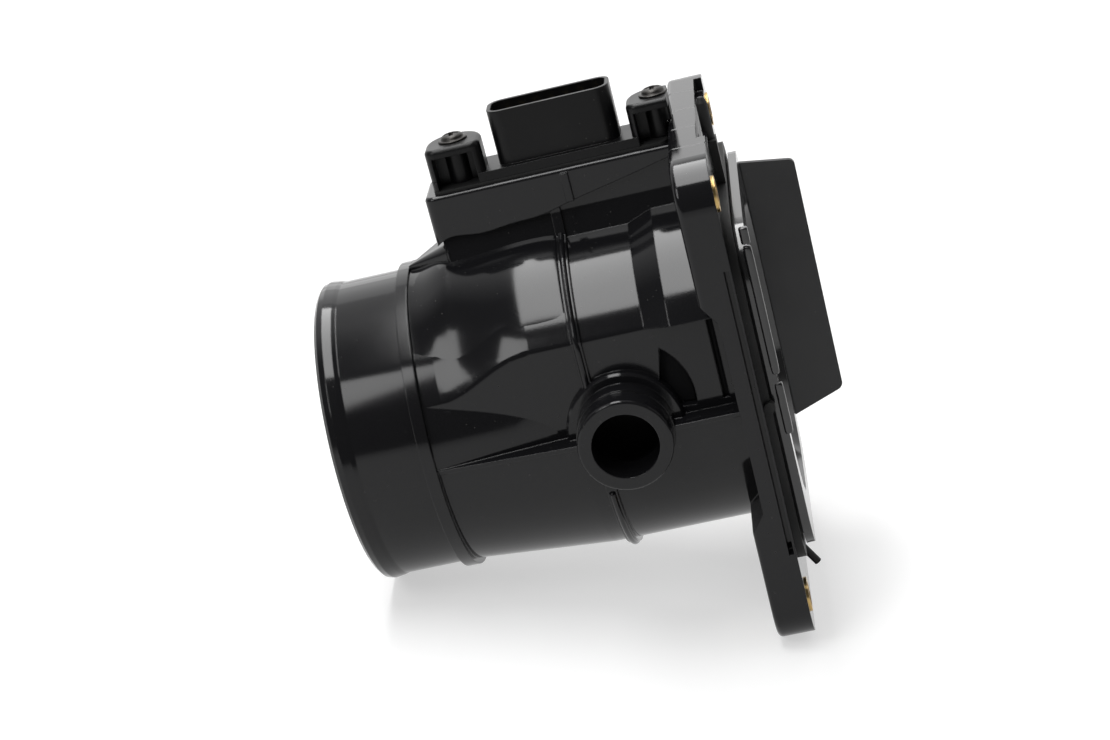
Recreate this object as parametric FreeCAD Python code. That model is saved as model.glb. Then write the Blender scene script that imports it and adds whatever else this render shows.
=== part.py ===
import FreeCAD, Part
import math
import os
from FreeCAD import Vector

os.makedirs("parts", exist_ok=True)

# Frame: origin on the duct axis at the flange's sealing face, +X towards the inlet, +Z up to the
# connector, -Y towards the hose nipple. Lengths in millimetres, angles in degrees.

# Duct
outlet_d = 80.0
outlet_x = -109.5
bead_h = 0.7
bead_w = 6.0
stop_ring_x = -85.5
stop_ring_w = 3.2
stop_ring_h = 1.6
duct_wall = 3.2
roof_r = 44.0
roof_swell_x0 = -79.0
roof_swell_x1 = -54.0
belly_r = 43.0
belly_x = -47.0
flat_y = 36.6
flat_x = -51.6
flat_edge = 2.5
body_rib_x = -42.0
body_rib_w = 2.6
body_rib_h = 1.2
collar_x = -24.7
collar_slope = 6.5
collar_rise = 2.2
collar_low_z = 24.2
parting_lip_t = 1.2
parting_lip_h = 0.4

# Flange
flange_w = 98.0
flange_h = 130.0
flange_corner = 11.5
ear_t = 9.5
web_t = 5.8
web_half = 31.0
web_round = 5.0
ear_slope_0 = 1.4
ear_slope_1 = 2.6
ear_edge = 1.4
hole_edge = 10.0
bushing_d = 9.0
bushing_bore_d = 6.5
bushing_stand = 0.5
edge_slot_w = 1.3
edge_slot_x = -1.2
edge_slot_len = 77.0
edge_slot_depth = 4.0
notch_depth = 2.1
notch_drop = 3.6
notch_y0 = -22.0
notch_y1 = 35.0

# Mouth, where the straightener sits
mouth_half_y = 33.6
mouth_half_z = 37.0
mouth_corner = 24.0
seat_gap = 0.15

# Hose nipple on the near side
nipple_x = -34.9
nipple_d = 24.0
nipple_bore_d = 17.0
nipple_tip_y = -50.0
nipple_edge = 0.8
nipple_root_d = 24.8
nipple_seat_len = 5.6
nipple_collar_d = 30.0
nipple_collar_h = 2.3
nipple_collar_edge = 0.6

# Recess and pad on the near side
pocket_x0 = -25.5
pocket_x1 = -16.2
pocket_z0 = 2.5
pocket_z1 = 18.5
pocket_lean = 3.2
pocket_drop = 0.8
pocket_belly_x = -17.4
pocket_belly_z = 12.0
side_recess_depth = 2.6
groove_x = -8.6
groove_w = 1.6
groove_depth = 1.4
groove_z0 = 2.0
groove_z1 = 24.0

# Platform that carries the sensor module
platform_x0 = -74.0
platform_half = 8.7
platform_top = 61.0
platform_foot = 34.0
platform_corner = 2.3
platform_edge = 1.0
platform_drop = 13.4
# The platform's lower edge: share of its length, share of the greatest drop below its top
platform_low_edge = ((0.0, 1.0), (0.055, 0.84), (0.165, 0.88), (0.3, 0.83), (0.41, 0.8),
                     (0.51, 0.69), (0.585, 0.6), (0.76, 0.42), (0.91, 0.25), (1.0, 0.16))
platform_rib_x = -37.5
platform_rib_w = 2.0
platform_rib_h = 1.0
platform_rib_drop = 8.6
neck_half = 6.9
neck_z = 50.0
neck_spread = 0.27

# Sensor module head
screw_x0 = -64.0
screw_x1 = -11.3
head_half = 7.2
head_t = 2.5
head_corner = 2.0
post_half = 7.3
post_h = 11.6
post_corner = 2.5
post_rim = 1.2
post_wall = 1.6
post_side_wall = 2.3
post_window_y = -1.5
post_boss_d = 6.4
post_end_x = -8.0
post_foot_end_x = -10.0
post_ear_gap = 0.5
seal_t = 0.8

# Connector shell
socket_x0 = -53.5
socket_x1 = -21.6
socket_y0 = -5.2
socket_y1 = 6.4
socket_top = 78.5
socket_wall = 1.0
socket_corner = 3.7
socket_floor = 2.0
terminal_count = 7
terminal_pitch = 3.9
terminal_w = 0.9
terminal_t = 0.7
terminal_rise = 9.0
terminal_edge = 0.2

# Screws and their threaded inserts
screw_d = 4.0
screw_hole_gap = 0.2
screw_head_d = 6.0
screw_head_h = 1.3
screw_head_edge = 0.6
screw_washer_d = 7.6
screw_washer_t = 0.5
screw_recess_d = 3.2
screw_recess_depth = 0.9
screw_end_gap = 1.0
insert_d = 6.0
insert_len = 9.0
thread_gap = 0.1

# Carrier and electronics in the platform's pocket
carrier_x0 = -53.5
carrier_x1 = -22.5
carrier_half = 5.6
carrier_wall = 1.2
carrier_depth = 12.0
carrier_gap = 0.2
carrier_corner = 1.3
carrier_ledge = 1.5
inner_corner_r = 0.8
board_t = 1.2
board_z = 54.6
board_gap = 0.15
chip_t = 1.7
chip_gap = 1.15
capacitor_len = 3.2
capacitor_w = 1.6
capacitor_h = 1.4
capacitor_y = 2.4

# Measuring channel inside the duct
channel_x0 = -80.0
channel_x1 = -17.0
channel_half_y = 19.0
channel_half_z = 21.0
channel_wall = 2.0
channel_corner = 4.0
strut_t = 2.4
strut_x0 = -40.5
generator_x = -24.0
generator_w = 11.0
generator_len = 13.0
generator_lip = 1.6
generator_tip_w = 2.4
stabiliser_x = -52.0
stabiliser_len = 12.0
stabiliser_t = 1.8
port_x = -42.0
port_d = 5.0
port_bore_d = 2.2
thermistor_x = -48.4
thermistor_d = 3.2
thermistor_reach = 9.0

# Flow straightener, frame, seal and intake guide
cell_pitch = 8.6
cell_wall = 0.7
straightener_t = 11.0
straightener_rim = 1.6
frame_half_y = 42.0
frame_half_z = 44.5
frame_corner = 14.0
frame_x0 = 2.6
frame_t = 2.2
frame_lip = 3.0
frame_flare = 2.2
sleeve_wall = 1.6
sleeve_len = 5.0
seal_half_y = 44.0
seal_half_z = 47.5
seal_corner = 15.0
seal_thick = 1.9
seal_neck_in = 2.6
pip_d = 2.8
pip_len = 1.2
tail_d = 2.9
tail_x = 0.2
tail_y = -4.0
tail_z0 = 57.0
tail_z1 = 70.0
tail_groove_gap = 0.1
strap_w = 6.0
stub_d = 2.0
stub_len = 6.2
stub_y = -28.0
stub_slope = 1.7
guide_half_z = 38.0
guide_len = 14.6
guide_taper = 3.6
guide_flare = 4.4
guide_t = 1.8
guide_corner = 2.0
guide_inset = 0.6

X = Vector(1, 0, 0)
Y = Vector(0, 1, 0)
Z = Vector(0, 0, 1)


def box(x0, x1, y0, y1, z0, z1):
    return Part.makeBox(x1 - x0, y1 - y0, z1 - z0, Vector(x0, y0, z0))


def rod(start, axis, radius, length):
    return Part.makeCylinder(radius, length, start, axis)


def outline(x, half_y, half_z, corner, mid_y=0.0, mid_z=0.0):
    """A rounded rectangle in the plane of one x, as four lines and four arcs."""
    c = min(corner, half_y - 0.05, half_z - 0.05)
    edges = []
    quarters = ((1, 1, 0), (-1, 1, 90), (-1, -1, 180), (1, -1, 270))
    points = []
    for side_y, side_z, turn in quarters:
        mid = Vector(x, mid_y + side_y * (half_y - c), mid_z + side_z * (half_z - c))
        for step in (0, 45, 90):
            a = math.radians(turn + step)
            points.append(mid + Vector(0, c * math.cos(a), c * math.sin(a)))
    for i in range(4):
        first, middle, last = points[3 * i:3 * i + 3]
        edges.append(Part.Arc(first, middle, last).toShape())
        edges.append(Part.LineSegment(last, points[(3 * i + 3) % 12]).toShape())
    return Part.Wire(edges)


def prism(x0, x1, half_y, half_z, corner, mid_y=0.0, mid_z=0.0):
    """The rounded rectangle carried from x0 to x1."""
    face = Part.Face(outline(x0, half_y, half_z, corner, mid_y, mid_z))
    return face.extrude(Vector(x1 - x0, 0, 0))


def plan_block(x0, x1, y0, y1, z0, z1, corner):
    """An upright block whose four upright edges are rounded."""
    solid = box(x0, x1, y0, y1, z0, z1)
    upright = [e for e in solid.Edges if abs(e.Vertexes[0].Z - e.Vertexes[1].Z) > 0.01]
    return solid.makeFillet(corner, upright)


def blend(sections):
    """A solid drawn through rounded rectangles, each (x, half_y, half_z, corner)."""
    return Part.makeLoft([outline(*s) for s in sections], True, True)


def turned(points):
    """A solid of revolution about the X axis from a closed list of (x, radius)."""
    loop = [Vector(x, 0, r) for x, r in points]
    return Part.Face(Part.makePolygon(loop + [loop[0]])).revolve(Vector(0, 0, 0), X, 360)


def along_y(points, y0, y1):
    """A closed list of (x, z) carried from y0 to y1."""
    loop = [Vector(x, y0, z) for x, z in points]
    face = Part.Face(Part.makePolygon(loop + [loop[0]]))
    return face.extrude(Vector(0, y1 - y0, 0))


def joined(solids):
    first, *others = solids
    return first.multiFuse(others).removeSplitter() if others else first


def save(name, shape):
    shape.exportStep(f"parts/{name}.step")


outlet_r = outlet_d / 2
bore_r = outlet_r - duct_wall
ring_end_x = stop_ring_x + stop_ring_w / 2
collar_r = roof_r + collar_rise
hole_y = flange_w / 2 - hole_edge
hole_z = flange_h / 2 - hole_edge
deck_z = platform_top + seal_t
head_top = deck_z + head_t
post_top = platform_top + post_h
cavity_floor = deck_z - carrier_depth - carrier_gap
mouth_depth = sleeve_len + straightener_t + 2 * seat_gap


def outlet_tube():
    """The outlet's round tube with its hose bead and the stop ring."""
    ring_x = stop_ring_x - stop_ring_w / 2
    return turned([
        (outlet_x, 0),
        (outlet_x, outlet_r - bead_h),
        (outlet_x + bead_w * 0.15, outlet_r + bead_h * 0.5),
        (outlet_x + bead_w * 0.4, outlet_r + bead_h),
        (outlet_x + bead_w * 0.8, outlet_r + bead_h * 0.5),
        (outlet_x + bead_w, outlet_r),
        (ring_x, outlet_r),
        (ring_x, outlet_r + stop_ring_h),
        (ring_end_x, outlet_r + stop_ring_h),
        (ring_end_x, 0),
    ])


def roof_round(inset, x_end):
    """The upper half's round: it swells in an S-curve from the tube's radius to the roof's."""
    start = Vector(ring_end_x, 0, outlet_r - inset)
    low = Vector(roof_swell_x0, 0, outlet_r - inset)
    high = Vector(roof_swell_x1, 0, roof_r - inset)
    end = Vector(x_end, 0, roof_r - inset)
    swell = Part.BSplineCurve()
    swell.interpolate(Points=[low, high], InitialTangent=X * (high.x - low.x),
                      FinalTangent=X * (high.x - low.x))
    axis_end, axis_start = Vector(x_end, 0, 0), Vector(ring_end_x, 0, 0)
    loop = Part.Wire([
        Part.LineSegment(start, low).toShape(),
        swell.toShape(),
        Part.LineSegment(high, end).toShape(),
        Part.LineSegment(end, axis_end).toShape(),
        Part.LineSegment(axis_end, axis_start).toShape(),
        Part.LineSegment(axis_start, start).toShape(),
    ])
    return Part.Face(loop).revolve(Vector(0, 0, 0), X, 360)


def upper_half(inset, x_end, low_z, edge):
    """Above low_z: the swelling round between two flats, and the cones that lead from the
    round tube down to those flats."""
    half = flat_y - inset
    reach = 2 * roof_r
    room = box(ring_end_x, x_end, -half, half, low_z, reach)
    solid = roof_round(inset, x_end).common(room)
    if edge:
        corners = [e for e in solid.Edges if e.BoundBox.YLength < 0.01
                   and abs(abs(e.CenterOfMass.y) - half) < 0.01 and e.BoundBox.ZMin > 1
                   and e.BoundBox.XLength > 1]
        solid = solid.makeFillet(edge, corners)
    cone = turned([(ring_end_x, 0), (ring_end_x, outlet_r - inset), (flat_x, half), (flat_x, 0)])
    return solid.fuse(cone.common(box(ring_end_x, x_end, -reach, reach, low_z, reach)))


def lower_half(inset, x_end, low_z, top_z):
    """Between two heights under the parting line: a round that widens to the belly's radius."""
    belly = turned([
        (ring_end_x, 0),
        (ring_end_x, outlet_r - inset),
        (belly_x, belly_r - inset),
        (x_end, belly_r - inset),
        (x_end, 0),
    ])
    reach = 2 * belly_r
    return belly.common(box(ring_end_x, x_end, -reach, reach, low_z, top_z))


def duct_form(inset, x_end, edge=0.0):
    """Both halves of the duct's body, drawn in by inset from the outside. Inside, the upper
    form reaches below the parting line by the wall, which leaves the ledge its floor."""
    split_z = -max(inset, 0.0)
    return [upper_half(inset, x_end, split_z, edge),
            lower_half(inset, x_end, -2 * belly_r, split_z)]


def duct_ribs():
    """The rib round the body's middle and the lip along the parting line."""
    x0, x1 = body_rib_x - body_rib_w / 2, body_rib_x + body_rib_w / 2
    reach = 2 * roof_r
    slab = box(x0, x1, -reach, reach, -reach, reach)
    ribs = [half.common(slab) for half in duct_form(-body_rib_h, 0)]
    ribs.append(lower_half(-parting_lip_h, 0, -parting_lip_t, 0))
    return ribs


def collar():
    """The step up beside the flange, over the roof only."""
    ring = turned([
        (collar_x, 0),
        (collar_x, roof_r),
        (collar_x + collar_slope, collar_r),
        (0, collar_r),
        (0, 0),
    ])
    reach = 2 * collar_r
    return ring.common(box(collar_x, 0, -reach, reach, collar_low_z, reach))


def flange_plate():
    """The mounting plate: thick ears top and bottom, a thinner web between them."""
    plate = prism(-ear_t, 0, flange_w / 2, flange_h / 2, flange_corner)
    back_rim = [e for e in plate.Edges if e.BoundBox.XMax < -ear_t + 0.01]
    plate = plate.makeFillet(ear_edge, back_rim)
    step = ear_t - web_t
    back = -ear_t - 1
    r = min(web_round, step)
    hollow = along_y([
        (back, -web_half),
        (-ear_t, -web_half),
        (-ear_t + r, -web_half + ear_slope_0 * r),
        (-web_t, -web_half + ear_slope_1 * r),
        (-web_t, web_half - ear_slope_1 * r),
        (-ear_t + r, web_half - ear_slope_0 * r),
        (-ear_t, web_half),
        (back, web_half),
    ], -flange_w, flange_w)
    plate = plate.cut(hollow)
    slot_half = edge_slot_w / 2
    for side in (-1, 1):
        outer = side * (flange_w / 2 + 1)
        inner = side * (flange_w / 2 - edge_slot_depth)
        low, high = min(outer, inner), max(outer, inner)
        plate = plate.cut(box(edge_slot_x - slot_half, edge_slot_x + slot_half, low, high,
                              -edge_slot_len / 2, edge_slot_len / 2))
    notch = box(-notch_depth, 1, notch_y0, notch_y1, flange_h / 2 - notch_drop, flange_h / 2 + 1)
    groove = rod(Vector(tail_x, tail_y, tail_z0 - tail_groove_gap), Z,
                 tail_d / 2 + tail_groove_gap, tail_z1 - tail_z0)
    return plate.cut(notch).cut(groove)


def nipple():
    """The hose stub on the near side, with a low shoulder that stops the hose, and the collar
    at its root."""
    root = Vector(nipple_x, 0, 0)
    stub = rod(root, -Y, nipple_d / 2, -nipple_tip_y)
    tip = [e for e in stub.Edges if abs(e.CenterOfMass.y - nipple_tip_y) < 0.01]
    stub = stub.makeFillet(nipple_edge, tip)
    root_y = nipple_tip_y + nipple_edge + nipple_seat_len
    shoulder = rod(root, -Y, nipple_root_d / 2, -root_y)
    collar_y = -flat_y - nipple_collar_h
    ring = rod(root, -Y, nipple_collar_d / 2, -collar_y)
    rim = [e for e in ring.Edges if abs(e.CenterOfMass.y - collar_y) < 0.01]
    return [stub, shoulder, ring.makeChamfer(nipple_collar_edge, rim)]


def neck(x0, x1, grow):
    """The narrow neck under the platform, which spreads towards the roof."""
    half = neck_half + grow
    foot_half = half + neck_spread * (neck_z - platform_foot)
    top = platform_top - 2 * platform_edge
    right = [(foot_half, platform_foot), (half, neck_z), (half, top)]
    left = [(-y, z) for y, z in reversed(right)]
    loop = [Vector(x0, y, z) for y, z in right + left]
    return Part.Face(Part.makePolygon(loop + [loop[0]])).extrude(Vector(x1 - x0, 0, 0))


def platform():
    """The raised block for the sensor module on its neck, with a side rib on each face."""
    end = -web_t
    block = plan_block(platform_x0, end, -platform_half, platform_half, platform_foot,
                       platform_top, platform_corner)
    rim = [e for e in block.Edges if abs(e.BoundBox.ZMin - platform_top) < 0.01
           and abs(e.BoundBox.ZMax - platform_top) < 0.01]
    block = block.makeFillet(platform_edge, rim)
    length = end - platform_x0
    low = [Vector(platform_x0 + length * run, -platform_half, platform_top - platform_drop * drop)
           for run, drop in platform_low_edge]
    curve = Part.BSplineCurve()
    curve.interpolate(low)
    top_end = Vector(end, -platform_half, platform_top)
    top_start = Vector(platform_x0, -platform_half, platform_top)
    side = Part.Wire([
        curve.toShape(),
        Part.LineSegment(low[-1], top_end).toShape(),
        Part.LineSegment(top_end, top_start).toShape(),
        Part.LineSegment(top_start, low[0]).toShape(),
    ])
    block = block.common(Part.Face(side).extrude(Vector(0, 2 * platform_half, 0)))
    inset = platform_half - neck_half
    pieces = [block, neck(platform_x0 + inset, end, 0)]
    pieces.append(neck(body_rib_x - body_rib_w / 2, body_rib_x + body_rib_w / 2, body_rib_h))
    out = platform_half + platform_rib_h
    pieces.append(box(platform_rib_x - platform_rib_w / 2, platform_rib_x + platform_rib_w / 2,
                      -out, out, platform_top - platform_rib_drop,
                      platform_top - platform_edge))
    return pieces


def duct_bore():
    """The inside of the duct: the same form drawn in by the wall, and the straightener's seat."""
    tube = rod(Vector(outlet_x - 1, 0, 0), X, bore_r, ring_end_x - outlet_x + 1.01)
    mouth = prism(-mouth_depth, 1, mouth_half_y, mouth_half_z, mouth_corner)
    return [tube] + duct_form(duct_wall, -mouth_depth + 0.01) + [mouth]


def near_side_recesses():
    """The leaf-shaped recess beside the nipple and the groove along the flange."""
    top = -collar_r
    floor = -flat_y + side_recess_depth
    corner = Vector(pocket_x0, top, pocket_z0)
    upper = Vector(pocket_x0 + pocket_lean, top, pocket_z1)
    lower = Vector(pocket_x1, top, pocket_z0 - pocket_drop)
    belly = Vector(pocket_belly_x, top, pocket_belly_z)
    leaf = Part.Wire([
        Part.LineSegment(lower, corner).toShape(),
        Part.LineSegment(corner, upper).toShape(),
        Part.Arc(upper, belly, lower).toShape(),
    ])
    pocket = Part.Face(leaf).extrude(Vector(0, floor - top, 0))
    pocket = pocket.cut(rod(Vector(nipple_x, 0, 0), -Y, nipple_collar_d / 2, -top))
    groove = box(groove_x - groove_w / 2, groove_x + groove_w / 2, top, -flat_y + groove_depth,
                 groove_z0, groove_z1)
    return [pocket, groove]


def duct_housing():
    """The moulded duct in one piece, from the outlet tube to the flange."""
    forms = [outlet_tube(), flange_plate(), collar()] + duct_form(0, 0, flat_edge) + duct_ribs()
    solid = joined(forms + nipple() + platform())
    cuts = duct_bore()
    cuts.append(rod(Vector(nipple_x, -flat_y + duct_wall + 1, 0), -Y, nipple_bore_d / 2,
                    -nipple_tip_y))
    cuts += near_side_recesses()
    for y in (-hole_y, hole_y):
        for z in (-hole_z, hole_z):
            cuts.append(rod(Vector(-ear_t - 1, y, z), X, bushing_d / 2, ear_t + 2))
    cuts.append(plan_block(carrier_x0 - carrier_gap, carrier_x1 + carrier_gap,
                           -carrier_half - carrier_gap, carrier_half + carrier_gap,
                           cavity_floor, platform_top + 1, carrier_corner + carrier_gap))
    for x in (screw_x0, screw_x1):
        cuts.append(rod(Vector(x, 0, platform_top - insert_len), Z, insert_d / 2,
                        insert_len + flange_h / 2))
    rise = platform_top - bore_r
    cuts.append(rod(Vector(port_x, 0, bore_r), Z, port_d / 2 + carrier_gap, rise))
    cuts.append(rod(Vector(thermistor_x, 0, bore_r), Z, thermistor_d / 2 + carrier_gap, rise))
    return solid.cut(Part.makeCompound(cuts))


def flange_bushings():
    """Four brass bushings that stand a little proud of the sealing face."""
    bushings = []
    for y in (-hole_y, hole_y):
        for z in (-hole_z, hole_z):
            start = Vector(-ear_t, y, z)
            length = ear_t + bushing_stand
            sleeve = rod(start, X, bushing_d / 2, length)
            bushings.append(sleeve.cut(rod(start - X, X, bushing_bore_d / 2, length + 2)))
    return Part.makeCompound(bushings)


def inlet_gasket():
    """The rubber seal between flange and frame, with a tail at the top and one at the bottom."""
    ring = prism(0, seal_thick, seal_half_y, seal_half_z, seal_corner)
    neck_y = frame_half_y - seal_neck_in
    neck_z = frame_half_z - seal_neck_in
    ring = ring.fuse(prism(seal_thick, frame_x0, neck_y, neck_z, frame_corner - seal_neck_in))
    ring = ring.cut(prism(-1, frame_x0 + 1, mouth_half_y, mouth_half_z, mouth_corner))
    pip = rod(Vector(pip_d / 2 + seat_gap, -seal_half_y + 1, 0), -Y, pip_d / 2, pip_len + 1)
    top = tail_z1 - tail_d / 2
    tail = rod(Vector(tail_x, tail_y, tail_z0), Z, tail_d / 2, top - tail_z0)
    cap = Part.makeCone(tail_d / 2, tail_d / 4, tail_d / 2, Vector(tail_x, tail_y, top), Z)
    strap = box(0, seal_thick, tail_y - strap_w / 2, tail_y + strap_w / 2,
                seal_half_z - seal_thick, tail_z0 + seal_thick)
    stub = rod(Vector(seal_thick / 2, stub_y, -seal_half_z + stub_d / 2), X - Z * stub_slope,
               stub_d / 2, stub_len)
    return joined([ring, pip, strap, tail, cap, stub])


def inlet_frame():
    """The plastic frame that clamps the straightener, with a sleeve into the mouth."""
    x1 = frame_x0 + frame_t
    plate = prism(frame_x0, x1, frame_half_y, frame_half_z, frame_corner)
    sleeve_y = mouth_half_y - seat_gap
    sleeve_z = mouth_half_z - seat_gap
    sleeve = prism(-sleeve_len, x1, sleeve_y, sleeve_z, mouth_corner)
    opening = prism(-sleeve_len - 1, x1 + 1, sleeve_y - sleeve_wall, sleeve_z - sleeve_wall,
                    mouth_corner - sleeve_wall)
    flare = blend([
        (x1 - frame_lip, sleeve_y - sleeve_wall - 0.01, sleeve_z - sleeve_wall - 0.01,
         mouth_corner - sleeve_wall),
        (x1 + 0.01, sleeve_y - sleeve_wall + frame_flare, sleeve_z - sleeve_wall + frame_flare,
         mouth_corner - sleeve_wall + frame_flare),
    ])
    return joined([plate, sleeve]).cut(opening).cut(flare)


def flow_straightener():
    """A honeycomb of hexagonal cells in a rim, behind the frame's sleeve."""
    x0 = -sleeve_len - seat_gap - straightener_t
    half_y = mouth_half_y - seat_gap
    half_z = mouth_half_z - seat_gap
    rim = prism(x0, x0 + straightener_t, half_y, half_z, mouth_corner)
    inner_y = half_y - straightener_rim
    inner_z = half_z - straightener_rim
    inner_corner = mouth_corner - straightener_rim
    row_step = cell_pitch * math.sqrt(3) / 2
    radius = (cell_pitch - cell_wall) / math.sqrt(3)
    rows = int(half_z / row_step) + 1
    columns = int(half_y / cell_pitch) + 2
    cells = []
    for row in range(-rows, rows + 1):
        shift = 0.5 * cell_pitch * (row % 2)
        for column in range(-columns, columns + 1):
            y = column * cell_pitch + shift
            z = row * row_step
            if inside_rounded(y, z, inner_y, inner_z, inner_corner, radius * 0.2):
                cells.append(hexagon(x0 - 1, y, z, radius, straightener_t + 2))
    field = prism(x0 - 1, x0 + straightener_t + 1, inner_y, inner_z, inner_corner)
    openings = Part.makeCompound(cells).common(field)
    return rim.cut(openings)


def inside_rounded(y, z, half_y, half_z, corner, margin):
    """True where a cell's centre lies inside the rounded rectangle by the margin."""
    dy = max(abs(y) - (half_y - corner), 0)
    dz = max(abs(z) - (half_z - corner), 0)
    return math.hypot(dy, dz) < corner - margin and abs(y) < half_y - margin and abs(z) < half_z - margin


def hexagon(x, y, z, radius, length):
    loop = []
    for i in range(7):
        a = math.radians(60 * i + 30)
        loop.append(Vector(x, y + radius * math.cos(a), z + radius * math.sin(a)))
    return Part.Face(Part.makePolygon(loop)).extrude(Vector(length, 0, 0))


def intake_guide():
    """The flared guide wall on the far side of the mouth."""
    x0 = frame_x0 + frame_t
    y0 = frame_half_y - guide_t - guide_inset
    low = guide_half_z
    high = guide_half_z - guide_taper
    foot = Part.makePolygon([
        Vector(x0, y0, -low), Vector(x0, y0 + guide_t, -low),
        Vector(x0, y0 + guide_t, low), Vector(x0, y0, low), Vector(x0, y0, -low),
    ])
    tip_y = y0 + guide_flare
    tip = Part.makePolygon([
        Vector(x0 + guide_len, tip_y, -high), Vector(x0 + guide_len, tip_y + guide_t, -high),
        Vector(x0 + guide_len, tip_y + guide_t, high), Vector(x0 + guide_len, tip_y, high),
        Vector(x0 + guide_len, tip_y, -high),
    ])
    wall = Part.makeLoft([foot, tip], True, True)
    ends = [e for e in wall.Edges if e.BoundBox.XMin > x0 + guide_len - 0.01
            and e.BoundBox.ZLength < 0.01 and e.BoundBox.YLength > guide_t / 2]
    return wall.makeFillet(guide_corner, ends)


def vortex_channel():
    """The rectangular measuring duct, held in the body by struts above and below."""
    outer = prism(channel_x0, channel_x1, channel_half_y, channel_half_z, channel_corner)
    pieces = [outer]
    for y in (-channel_half_y + channel_corner, channel_half_y - channel_corner):
        for side, inner_r in ((-1, belly_r - duct_wall), (1, roof_r - duct_wall)):
            z0 = side * (channel_half_z - channel_wall)
            z1 = side * strut_reach(y, inner_r)
            pieces.append(box(strut_x0, channel_x1, y - strut_t / 2, y + strut_t / 2,
                              min(z0, z1), max(z0, z1)))
    return joined(pieces).cut(channel_hollow())


def channel_hollow():
    return prism(channel_x0 - 1, channel_x1 + 1, channel_half_y - channel_wall,
                 channel_half_z - channel_wall, channel_corner - channel_wall)


def strut_reach(y, inner_r):
    """How far a strut at y goes before it meets the duct's round inside."""
    return math.sqrt(inner_r ** 2 - (abs(y) + strut_t / 2) ** 2) - seat_gap


def vortex_generator():
    """The triangular pillar that sheds the vortices, its broad face to the inlet."""
    half = channel_half_z - channel_wall
    tip_x = generator_x - generator_len
    loop = [
        Vector(generator_x, -generator_w / 2, -half),
        Vector(generator_x, generator_w / 2, -half),
        Vector(generator_x - generator_lip, generator_w / 2, -half),
        Vector(tip_x, generator_tip_w / 2, -half),
        Vector(tip_x, -generator_tip_w / 2, -half),
        Vector(generator_x - generator_lip, -generator_w / 2, -half),
    ]
    face = Part.Face(Part.makePolygon(loop + [loop[0]]))
    return face.extrude(Vector(0, 0, 2 * half))


def vortex_stabiliser():
    """A thin plate downstream of the pillar that steadies the vortex street."""
    half = channel_half_z - channel_wall
    return box(stabiliser_x - stabiliser_len, stabiliser_x, -stabiliser_t / 2, stabiliser_t / 2,
               -half, half)


def socket_shell():
    """The connector's wall and its hollow, open at the top."""
    outer = plan_block(socket_x0, socket_x1, socket_y0, socket_y1, deck_z, socket_top,
                       socket_corner)
    hollow = plan_block(socket_x0 + socket_wall, socket_x1 - socket_wall,
                        socket_y0 + socket_wall, socket_y1 - socket_wall,
                        head_top + socket_floor, socket_top + 1, socket_corner - socket_wall)
    return outer, hollow


def head_post(x):
    """A hollow screw post, round behind, with a window to the near side and a boss in it."""
    post = box(x - post_half, x + post_half, -head_half, post_half, deck_z, post_top)
    upright = [e for e in post.Edges if e.BoundBox.ZLength > 1]
    front = [e for e in upright if e.BoundBox.YMax < 0]
    post = post.makeFillet(post_corner, front)
    back = [e for e in post.Edges if e.BoundBox.ZLength > 1 and e.BoundBox.YMin > post_half - 0.01]
    post = post.makeFillet(post_half - 0.05, back)
    rim = [e for e in post.Edges if e.BoundBox.ZMin > post_top - 0.01]
    post = post.makeFillet(post_rim, rim)
    window = box(x - post_half + post_wall, x + post_half - post_side_wall, -head_half - 1,
                 post_window_y, deck_z - 1, post_top - post_side_wall)
    return post, window.cut(rod(Vector(x, 0, deck_z - 1), Z, post_boss_d / 2, post_h + 2))


def module_head():
    """The module's cover: a low bar with two screw posts and the connector shell."""
    shell, hollow = socket_shell()
    bar = plan_block(screw_x0 - post_half, post_foot_end_x, -head_half, head_half,
                     deck_z, head_top, head_corner)
    solids = [bar, shell]
    ear_top = flange_h / 2 + post_ear_gap
    cuts = [hollow, box(post_end_x, 1, -flange_w / 2, flange_w / 2, deck_z - 1, post_top + 1),
            box(post_foot_end_x, 1, -flange_w / 2, flange_w / 2, 0, ear_top)]
    for x in (screw_x0, screw_x1):
        post, window = head_post(x)
        solids.append(post)
        cuts.append(window)
        cuts.append(rod(Vector(x, 0, deck_z - 1), Z, screw_d / 2 + screw_hole_gap, post_h + 2))
    for x in terminal_places():
        cuts.append(box(x - terminal_w / 2, x + terminal_w / 2, -terminal_t / 2, terminal_t / 2,
                        deck_z - 1, head_top + socket_floor + 1))
    return joined(solids).cut(Part.makeCompound(cuts))


def terminal_places():
    middle = (socket_x0 + socket_x1) / 2
    first = middle - terminal_pitch * (terminal_count - 1) / 2
    return [first + i * terminal_pitch for i in range(terminal_count)]


def terminal(x):
    """A blade terminal through the connector's floor, down to the board."""
    z0 = board_z + board_t
    z1 = head_top + socket_floor + terminal_rise
    blade = box(x - terminal_w / 2, x + terminal_w / 2, -terminal_t / 2, terminal_t / 2, z0, z1)
    ends = [e for e in blade.Edges if e.BoundBox.ZMin > z1 - 0.01]
    return blade.makeChamfer(terminal_edge, ends)


def module_seal():
    """The flat rubber seal between platform and cover."""
    pad = plan_block(screw_x0 - post_half, post_foot_end_x, -head_half, head_half,
                     platform_top, deck_z, head_corner)
    hole = plan_block(carrier_x0 + carrier_wall, carrier_x1 - carrier_wall,
                      -carrier_half + carrier_wall, carrier_half - carrier_wall,
                      platform_top - 1, deck_z + 1, inner_corner_r)
    cuts = [hole]
    for x in (screw_x0, screw_x1):
        cuts.append(rod(Vector(x, 0, platform_top - 1), Z, screw_d / 2 + screw_hole_gap,
                        seal_t + 2))
    return pad.cut(Part.makeCompound(cuts))


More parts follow.
